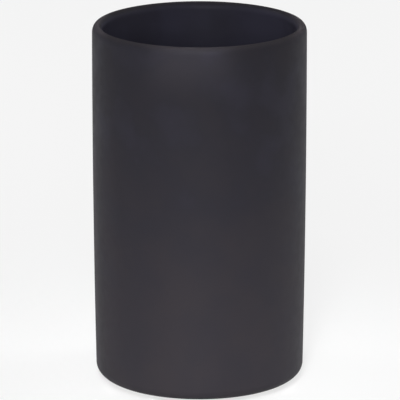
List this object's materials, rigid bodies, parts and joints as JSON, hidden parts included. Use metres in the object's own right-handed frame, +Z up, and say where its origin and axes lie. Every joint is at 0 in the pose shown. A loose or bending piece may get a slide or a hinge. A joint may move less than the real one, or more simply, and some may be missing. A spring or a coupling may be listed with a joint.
{
  "type": "bathroom tumbler",
  "caption": "Round, nearly straight stoneware bathroom tumbler in matt black, with a softly rounded lip and heel, standing on small non-slip pads.",
  "frame": {"origin": "where the tumbler's axis meets the surface that it stands on, under the pads", "axes": "+Z up along the tumbler's axis; +X and +Y are alike, and the pads lie half way between them"},
  "size_m": [0.0706, 0.0706, 0.12],
  "materials": {
    "matt_black_glaze": "soft matt",
    "pad_silicone": "matte",
    "pad_adhesive": "matte"
  },
  "bodies": {
    "root": {"tumbler_body": "matt_black_glaze", "foot_pad_1": "pad_silicone", "foot_pad_2": "pad_silicone", "foot_pad_3": "pad_silicone", "foot_pad_4": "pad_silicone", "adhesive_disc_1": "pad_adhesive", "adhesive_disc_2": "pad_adhesive", "adhesive_disc_3": "pad_adhesive", "adhesive_disc_4": "pad_adhesive"}
  },
  "joints": []
}
